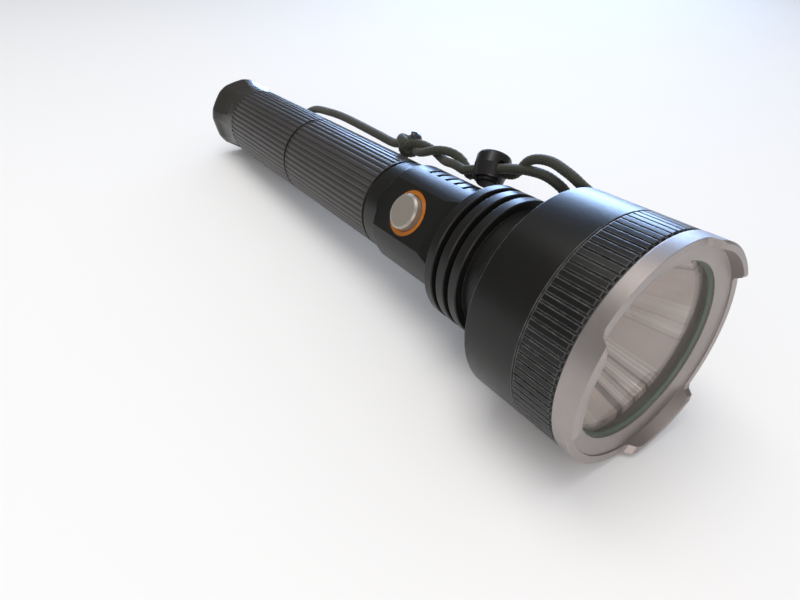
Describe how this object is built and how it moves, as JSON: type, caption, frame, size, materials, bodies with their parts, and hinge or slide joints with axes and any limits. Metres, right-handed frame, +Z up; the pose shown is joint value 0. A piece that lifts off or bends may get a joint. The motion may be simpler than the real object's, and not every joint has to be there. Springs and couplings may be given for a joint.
{
  "type": "tactical flashlight",
  "caption": "Tactical flashlight: crowned bezel, knurled bell, finned neck with a side button, fluted battery tube, faceted tail cap and wrist lanyard.",
  "frame": {"origin": "centre of the tail cap's flat end face", "axes": "+X along the beam, from the tail cap to the lens; +Z up with the lamp lying down and its button turned 55 degrees towards -Y"},
  "size_m": [0.2778, 0.083, 0.066],
  "materials": {
    "anodised_black": "satin hard-anodised",
    "anodised_grey": "satin hard-anodised",
    "bezel_metal": "bead-blasted",
    "bare_aluminium": "machined",
    "reflector_mirror": "polished",
    "lens_glass": "coated",
    "lens_seal_green": "soft",
    "seal_rubber": "soft",
    "led_copper": "plated",
    "led_phosphor": "clear dome over phosphor",
    "white_plastic": "moulded",
    "lead_plastic": "insulated",
    "board_green": "solder mask",
    "spring_gold": "gold-plated",
    "spring_steel": "drawn",
    "button_metal": "fine blasted",
    "light_ring_orange": "translucent",
    "tact_plastic": "moulded",
    "cell_wrap": "shrink wrap",
    "cord_olive": "woven sheath",
    "lock_plastic": "moulded"
  },
  "bodies": {
    "head": {"neck_housing": "anodised_black", "head_bell": "anodised_black", "head_seal": "seal_rubber", "lens": "lens_glass", "lens_seal": "lens_seal_green", "reflector": "reflector_mirror", "heat_sink_pill": "bare_aluminium", "led_board": "led_copper", "led_emitter": "led_phosphor", "led_gasket": "white_plastic", "led_leads": "lead_plastic", "driver_board": "board_green", "driver_retainer": "bare_aluminium", "driver_spring": "spring_gold", "switch_light_ring": "light_ring_orange", "tact_switch": "tact_plastic", "switch_board": "board_green", "switch_holder": "white_plastic"},
    "switch_button_body": {"switch_button": "button_metal", "switch_seal": "seal_rubber", "tact_plunger": "tact_plastic"},
    "bezel_thread": {"bezel_seal": "seal_rubber"},
    "bezel_body": {"bezel": "bezel_metal"},
    "front_tube_thread": {"front_tube_seal": "seal_rubber"},
    "front_tube_body": {"front_tube": "anodised_grey"},
    "cells": {"front_cell": "cell_wrap", "rear_cell": "cell_wrap"},
    "rear_tube_thread": {"rear_tube_seal": "seal_rubber"},
    "rear_tube_body": {"rear_tube": "anodised_grey"},
    "tail_cap_thread": {"tail_cap_seal": "seal_rubber"},
    "tail_cap_body": {"tail_cap": "anodised_grey", "tail_contact_board": "board_green", "tail_retainer": "bare_aluminium", "tail_spring": "spring_gold", "lanyard_cord": "cord_olive"},
    "cord_lock": {"cord_lock_barrel": "lock_plastic", "cord_lock_spring": "spring_steel"},
    "cord_lock_plunger_body": {"cord_lock_plunger": "lock_plastic"}
  },
  "joints": [
    {"name": "bezel_travel", "type": "slide", "parent": "head", "child": "bezel_thread", "axis": [1, 0, 0], "range_m": [0, 0.00627]},
    {"name": "bezel_turn", "type": "hinge", "parent": "bezel_thread", "child": "bezel_body", "pos_m": [0.27, 0, 0], "axis": [1, 0, 0], "range_deg": [0, 1800]},
    {"name": "front_tube_travel", "type": "slide", "parent": "head", "child": "front_tube_thread", "axis": [-1, 0, 0], "range_m": [0, 0.00627]},
    {"name": "front_tube_turn", "type": "hinge", "parent": "front_tube_thread", "child": "front_tube_body", "pos_m": [0.1615, 0, 0], "axis": [-1, 0, 0], "range_deg": [0, 1800]},
    {"name": "rear_tube_travel", "type": "slide", "parent": "front_tube_body", "child": "rear_tube_thread", "axis": [-1, 0, 0], "range_m": [0, 0.00627]},
    {"name": "rear_tube_turn", "type": "hinge", "parent": "rear_tube_thread", "child": "rear_tube_body", "pos_m": [0.0925, 0, 0], "axis": [-1, 0, 0], "range_deg": [0, 1800]},
    {"name": "tail_cap_travel", "type": "slide", "parent": "rear_tube_body", "child": "tail_cap_thread", "axis": [-1, 0, 0], "range_m": [0, 0.00627], "deforming": ["tail_spring"]},
    {"name": "tail_cap_turn", "type": "hinge", "parent": "tail_cap_thread", "child": "tail_cap_body", "pos_m": [0.0247, 0, 0], "axis": [-1, 0, 0], "range_deg": [0, 1800]},
    {"name": "cells_travel", "type": "slide", "parent": "head", "child": "cells", "axis": [-1, 0, 0], "range_m": [0, 0.00252], "deforming": ["driver_spring"]},
    {"name": "switch_press", "type": "slide", "parent": "head", "child": "switch_button_body", "axis": [0, 0.8192, -0.5736], "range_m": [0, 0.0006], "stiffness_N_per_m": 2500},
    {"name": "cord_lock_slide", "type": "slide", "parent": "tail_cap_body", "child": "cord_lock", "axis": [0.9397, 0.2239, 0.2585], "range_m": [-0.0018, 0.0022]},
    {"name": "cord_lock_press", "type": "slide", "parent": "cord_lock", "child": "cord_lock_plunger_body", "axis": [-0.342, 0.6153, 0.7103], "range_m": [0, 0.0007], "stiffness_N_per_m": 1500, "deforming": ["cord_lock_spring"]}
  ],
  "couplings": [
    {"joint": "bezel_travel", "follows": "bezel_turn", "m_per_rad": 0.00019894},
    {"joint": "front_tube_travel", "follows": "front_tube_turn", "m_per_rad": 0.00019894},
    {"joint": "rear_tube_travel", "follows": "rear_tube_turn", "m_per_rad": 0.00019894},
    {"joint": "tail_cap_travel", "follows": "tail_cap_turn", "m_per_rad": 0.00019894},
    {"joint": "cells_travel", "follows": "tail_cap_turn", "m_per_rad": 0.000079577}
  ]
}
